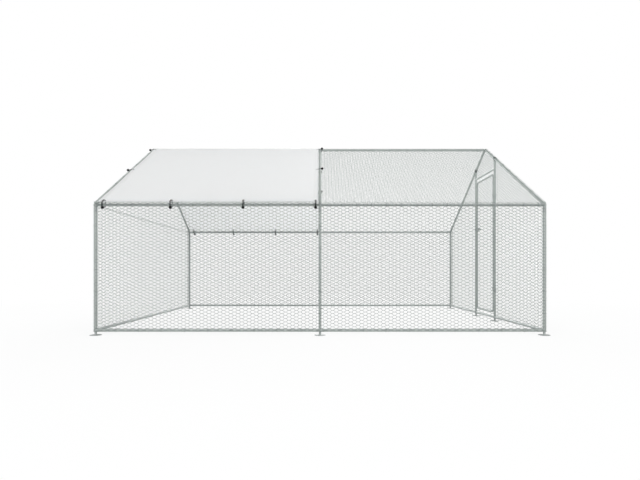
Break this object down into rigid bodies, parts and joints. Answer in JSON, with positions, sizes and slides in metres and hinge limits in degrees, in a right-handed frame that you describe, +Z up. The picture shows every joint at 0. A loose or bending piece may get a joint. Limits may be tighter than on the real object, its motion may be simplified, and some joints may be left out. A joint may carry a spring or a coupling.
{
  "type": "chicken run",
  "caption": "Walk-in chicken run: galvanised tube portal frames with a pitched roof, hexagonal netting, half roof cover and a hinged gable door with a slide bolt.",
  "frame": {"origin": "on the ground under the middle of the run, level with the undersides of the feet", "axes": "+X along the ridge towards the door gable, -Y towards the front wall, +Z up"},
  "size_m": [4, 2.9998, 2.0002],
  "materials": {
    "tube": "hot-dip galvanised tube",
    "hardware": "bright zinc plated",
    "feet": "zinc plated pressing",
    "netting": "galvanised twisted wire",
    "cover": "coated woven sheet",
    "eyelets": "nickel plated",
    "elastic_cord": "braided elastic",
    "tie_balls": "moulded"
  },
  "bodies": {
    "frame": {"front_left_post": "tube", "front_centre_post": "tube", "front_right_post": "tube", "back_left_post": "tube", "back_centre_post": "tube", "back_right_post": "tube", "front_left_bottom_rail": "tube", "front_right_bottom_rail": "tube", "back_left_bottom_rail": "tube", "back_right_bottom_rail": "tube", "left_gable_front_rail": "tube", "left_gable_back_rail": "tube", "right_gable_front_rail": "tube", "right_gable_back_rail": "tube", "door_sill": "tube", "front_left_eave_rail": "tube", "front_right_eave_rail": "tube", "back_left_eave_rail": "tube", "back_right_eave_rail": "tube", "ridge_tubes": "tube", "left_rafters": "tube", "centre_rafters": "tube", "right_rafters": "tube", "eave_corner_elbows": "tube", "eave_centre_elbows": "tube", "ridge_end_elbows": "tube", "ridge_centre_elbow": "tube", "base_corner_connectors": "tube", "base_centre_connectors": "tube", "door_post_tees": "tube", "hinge_post": "tube", "latch_post": "tube", "door_lintel": "tube", "lintel_plugs": "hardware", "door_post_clamps": "hardware", "ground_feet": "feet", "frame_screws": "hardware", "front_wall_net": "netting", "back_wall_net": "netting", "front_roof_net": "netting", "back_roof_net": "netting", "left_gable_net": "netting", "right_gable_front_net": "netting", "right_gable_back_net": "netting", "door_header_net": "netting", "roof_cover": "cover", "cover_eyelets": "eyelets", "tie_cords": "elastic_cord", "tie_balls": "tie_balls", "post_hinge_brackets": "hardware", "latch_keeper": "hardware"},
    "door": {"door_hinge_stile": "tube", "door_latch_stile": "tube", "door_rails": "tube", "door_corner_elbows": "tube", "door_rivets": "hardware", "door_net": "netting", "door_hinge_eyes": "hardware", "latch_guide": "hardware"},
    "latch": {"latch_bolt": "hardware"}
  },
  "joints": [
    {"name": "door_hinge", "type": "hinge", "parent": "frame", "child": "door", "pos_m": [1.966, -0.28875, 0.34], "axis": [0, 0, -1], "range_deg": [0, 170]},
    {"name": "latch_slide", "type": "slide", "parent": "door", "child": "latch", "axis": [0, 1, 0], "range_m": [0, 0.038]}
  ]
}
